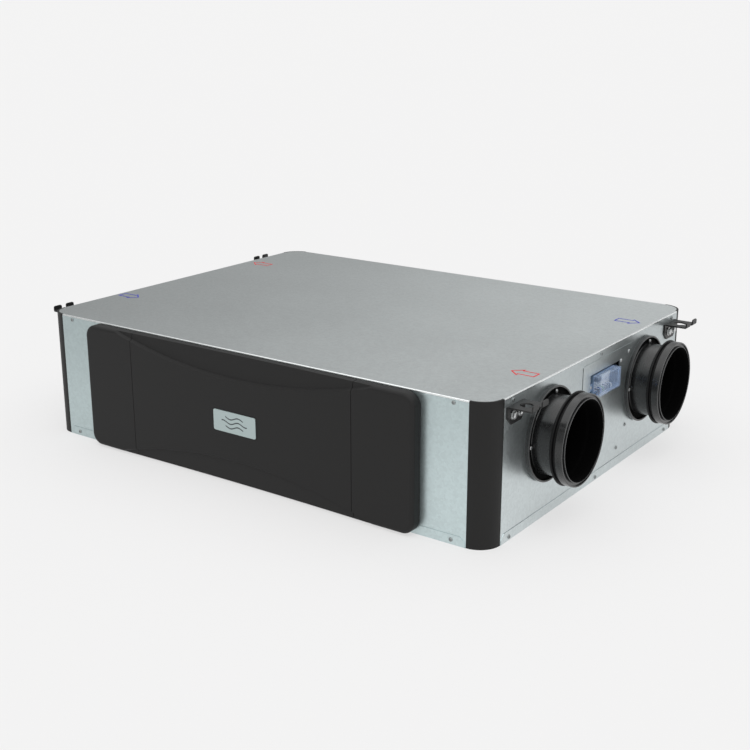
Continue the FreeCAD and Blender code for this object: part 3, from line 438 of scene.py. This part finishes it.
# the inside of each spigot and the recess behind its flange rim are painted near-black as painted shade; its end lip
# and flange rim get a lighter, glossier black as a painted highlight
for tag, sx, sy in (("outdoor_air", -1, -1), ("exhaust_air", -1, 1), ("extract_air", 1, -1), ("supply_air", 1, 1)):
    o = NODES["spigot_" + tag]
    me = o.data
    me.materials.append(M["bore_painted_shade"])
    me.materials.append(M["spigot_edge_painted_highlight"])
    for f in me.polygons:
        c = f.center
        out = sx * c.x - 0.5125
        dy, dz = c.y - sy * 0.1925, c.z - 0.1485
        r = math.hypot(dy, dz)
        inward = (f.normal.y * dy + f.normal.z * dz) / max(r, 1e-6) < -0.3
        facing = f.normal.x * sx > 0.2
        if (inward and r < 0.0705) or (0.002 < out < 0.0045 and 0.069 < r < 0.0805 and facing):
            f.material_index = 1
        elif (out > 0.0655 and r > 0.0700) or (out > 0.0072 and out < 0.0085 and r > 0.0800):
            f.material_index = 2


# ---------------------------------------------------------------------------
# flow direction arrows: printed outlines, drawn a little bolder than the thin CAD outline
# ---------------------------------------------------------------------------
def arrow_outline(x_tip, y_c, sx, d, length=50.0, width=36.0, shaft=22.0, head=20.0):
    k = math.hypot(head, width / 2) / (width / 2)
    wy = (head - d - d * k) * (width / 2) / head
    xb = x_tip - sx * (head - d)
    sh = shaft / 2 - d
    xe = x_tip - sx * (length - d)
    return [(x_tip - sx * d * k, y_c), (xb, y_c + wy), (xb, y_c + sh), (xe, y_c + sh), (xe, y_c - sh), (xb, y_c - sh), (xb, y_c - wy)]


def printed_arrows(name, arrows, mat, stands_for):
    lo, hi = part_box(stands_for)
    bm = bmesh.new()
    for x_tip, y_c, sx in arrows:
        outer = arrow_outline(x_tip, y_c, sx, 0.0)
        inner = arrow_outline(x_tip, y_c, sx, 2.3)
        ring = []
        for z in (lo.z, hi.z):
            ring.append([[bm.verts.new((x / 1000.0, y / 1000.0, z)) for x, y in pts] for pts in (outer, inner)])
        n = len(outer)
        for i in range(n):
            j = (i + 1) % n
            (bo, bi), (to, ti) = ring
            bm.faces.new((to[i], to[j], ti[j], ti[i]))
            bm.faces.new((bo[j], bo[i], bi[i], bi[j]))
            bm.faces.new((bo[i], bo[j], to[j], to[i]))
            bm.faces.new((bi[j], bi[i], ti[i], ti[j]))
    bmesh.ops.recalc_face_normals(bm, faces=bm.faces)
    me = bpy.data.meshes.new(name)
    bm.to_mesh(me)
    bm.free()
    o = bpy.data.objects.new(name, me)
    scene.collection.objects.link(o)
    me.materials.append(mat)
    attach(o, "casing")
    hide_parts(stands_for)
    return o


printed_arrows("arrow_print_red", [(444.0, -207.0, -1), (-492.0, 212.0, -1)], M["red_ink"], "flow_arrows_red")
printed_arrows("arrow_print_blue", [(492.0, 214.0, 1), (-452.0, -200.0, 1)], M["blue_ink"], "flow_arrows_blue")

# ---------------------------------------------------------------------------
# wires and a strain relief behind the clear lid of the terminal box
# ---------------------------------------------------------------------------
def bezier(points, n=10):
    """Points of a smooth line through the given ones."""
    pts = [Vector(p) for p in points]
    out = []
    for i in range(len(pts) - 1):
        p0 = pts[max(i - 1, 0)]
        p1, p2 = pts[i], pts[i + 1]
        p3 = pts[min(i + 2, len(pts) - 1)]
        for k in range(n):
            t = k / n
            out.append(0.5 * ((2 * p1) + (p2 - p0) * t + (2 * p0 - 5 * p1 + 4 * p2 - p3) * t * t + (3 * p1 - p0 - 3 * p2 + p3) * t ** 3))
    out.append(pts[-1])
    return out


def tube(name, points, radius, mat, body="casing", sides=10):
    line = bezier(points)
    bm = bmesh.new()
    rings = []
    ref = Vector((0, 1, 0))
    for i, p in enumerate(line):
        t = (line[min(i + 1, len(line) - 1)] - line[max(i - 1, 0)]).normalized()
        u = (ref - t * ref.dot(t)).normalized()
        v = t.cross(u)
        rings.append([bm.verts.new(p + radius * (math.cos(2 * math.pi * k / sides) * u + math.sin(2 * math.pi * k / sides) * v))
                      for k in range(sides)])
    for a, b in zip(rings, rings[1:]):
        for k in range(sides):
            bm.faces.new((a[k], a[(k + 1) % sides], b[(k + 1) % sides], b[k])).smooth = True
    bm.faces.new(rings[0][::-1])
    bm.faces.new(rings[-1])
    bmesh.ops.recalc_face_normals(bm, faces=bm.faces)
    me = bpy.data.meshes.new(name)
    bm.to_mesh(me)
    bm.free()
    o = bpy.data.objects.new(name, me)
    scene.collection.objects.link(o)
    me.materials.append(mat)
    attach(o, body)
    return o


def moulded_block(name, lo, hi, mat, body="casing", radius=0.0008):
    """A small moulded block with rounded edges and a grip groove along its face."""
    bm = bmesh.new()
    bmesh.ops.create_cube(bm, size=1.0)
    for v in bm.verts:
        v.co = Vector([lo[i] + (v.co[i] + 0.5) * (hi[i] - lo[i]) for i in range(3)])
    front = max(bm.faces, key=lambda f: f.calc_center_median().x)
    res = bmesh.ops.inset_region(bm, faces=[front], thickness=0.0016, depth=0.0)
    bmesh.ops.translate(bm, verts=list(front.verts), vec=(-0.0011, 0, 0))
    bmesh.ops.bevel(bm, geom=list(bm.edges), offset=radius * 0.5, segments=2, affect="EDGES", clamp_overlap=True)
    bmesh.ops.recalc_face_normals(bm, faces=bm.faces)
    me = bpy.data.meshes.new(name)
    bm.to_mesh(me)
    bm.free()
    o = bpy.data.objects.new(name, me)
    scene.collection.objects.link(o)
    me.materials.append(mat)
    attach(o, body)
    return o


for i, colour in enumerate(("brown", "blue", "green", "black", "grey", "white")):
    y = -0.0183 + 0.0106 * i
    tube("terminal_wire_%d" % (i + 1),
         [(0.5172, y + 0.0015, 0.1726), (0.5186, y + 0.0008, 0.1752), (0.5180, y, 0.1790), (0.5146, y, 0.1808), (0.5110, y, 0.1810)],
         0.00105, M["wire_" + colour])
moulded_block("terminal_clamp_bar", (0.5146, -0.0240, 0.1722), (0.5168, 0.0500, 0.1752), M["dark_plastic"])
moulded_block("terminal_relay_a", (0.5124, 0.0395, 0.1790), (0.5228, 0.0530, 0.2000), M["dark_plastic"])
moulded_block("terminal_relay_b", (0.5124, -0.0255, 0.1962), (0.5205, -0.0105, 0.2045), M["dark_plastic"])
moulded_block("terminal_marker_strip", (0.5122, -0.0080, 0.1975), (0.5150, 0.0370, 0.2030), M["light_plastic"])

# ---------------------------------------------------------------------------
# floor: a wide pale disc that rises very slightly far away
# ---------------------------------------------------------------------------
def floor_piece():
    me = bpy.data.meshes.new("floor")
    bm = bmesh.new()
    rings = [(0.0, 0.0), (2.5, 0.0), (6.0, 0.0), (14.0, 0.0), (22.0, 0.12), (40.0, 1.1), (90.0, 4.4), (200.0, 13.0)]
    n = 96
    prev = None
    for r, z in rings:
        if r == 0.0:
            continue
        cur = [bm.verts.new((r * math.cos(2 * math.pi * i / n), r * math.sin(2 * math.pi * i / n), z)) for i in range(n)]
        if prev is None:
            bm.faces.new(cur)
        else:
            for i in range(n):
                j = (i + 1) % n
                bm.faces.new((prev[i], prev[j], cur[j], cur[i]))
        prev = cur
    bmesh.ops.recalc_face_normals(bm, faces=bm.faces)
    for f in bm.faces:
        f.smooth = True
        if f.normal.z < 0:
            f.normal_flip()
    bm.to_mesh(me)
    bm.free()
    o = bpy.data.objects.new("floor", me)
    scene.collection.objects.link(o)
    m = Mat("floor", (0.26, 0.26, 0.26), 0.95, spec=0.0)
    m.b.inputs["Emission Color"].default_value = (1.0, 0.994, 0.994, 1.0)
    m.b.inputs["Emission Strength"].default_value = 0.60
    m.tint(m.noise(0.7, 2.0, 0.5), 0.995, 1.005)
    me.materials.append(m.m)
    return o


floor_piece()

# ---------------------------------------------------------------------------
# light
# ---------------------------------------------------------------------------
world = bpy.data.worlds.new("studio")
scene.world = world
world.use_nodes = True
wt = world.node_tree
wt.nodes.clear()
wo = wt.nodes.new("ShaderNodeOutputWorld")
bg = wt.nodes.new("ShaderNodeBackground")
tc = wt.nodes.new("ShaderNodeTexCoord")
sp = wt.nodes.new("ShaderNodeSeparateXYZ")
mr = wt.nodes.new("ShaderNodeMapRange")
mr.inputs["From Min"].default_value = -0.95
mr.inputs["From Max"].default_value = 0.35
mix = wt.nodes.new("ShaderNodeMix")
mix.data_type = "RGBA"
mix.inputs["A"].default_value = (0.34, 0.345, 0.347, 1)
mix.inputs["B"].default_value = (0.62, 0.63, 0.632, 1)
wt.links.new(tc.outputs["Generated"], sp.inputs[0])
wt.links.new(sp.outputs["X"], mr.inputs["Value"])
wt.links.new(mr.outputs["Result"], mix.inputs["Factor"])
high = wt.nodes.new("ShaderNodeMapRange")
high.interpolation_type = "SMOOTHSTEP"
high.inputs["From Min"].default_value = 0.46
high.inputs["From Max"].default_value = 0.74
wt.links.new(sp.outputs["Z"], high.inputs["Value"])
sky = wt.nodes.new("ShaderNodeMix")
sky.data_type = "RGBA"
sky.inputs["B"].default_value = (1.28, 1.285, 1.285, 1)
wt.links.new(mix.outputs["Result"], sky.inputs["A"])
wt.links.new(high.outputs["Result"], sky.inputs["Factor"])
wt.links.new(sky.outputs["Result"], bg.inputs["Color"])
bg.inputs["Strength"].default_value = 1.0
wt.links.new(bg.outputs["Background"], wo.inputs["Surface"])


def sun(name, strength, angle, direction, color=(1, 1, 1)):
    d = bpy.data.lights.new(name, "SUN")
    d.energy = strength
    d.angle = math.radians(angle)
    d.color = color
    o = bpy.data.objects.new(name, d)
    scene.collection.objects.link(o)
    o.rotation_mode = "QUATERNION"
    o.rotation_quaternion = Vector(direction).normalized().to_track_quat("-Z", "Y")
    return o


sun("key", 0.55, 70, (-0.35, 0.45, -1.0))
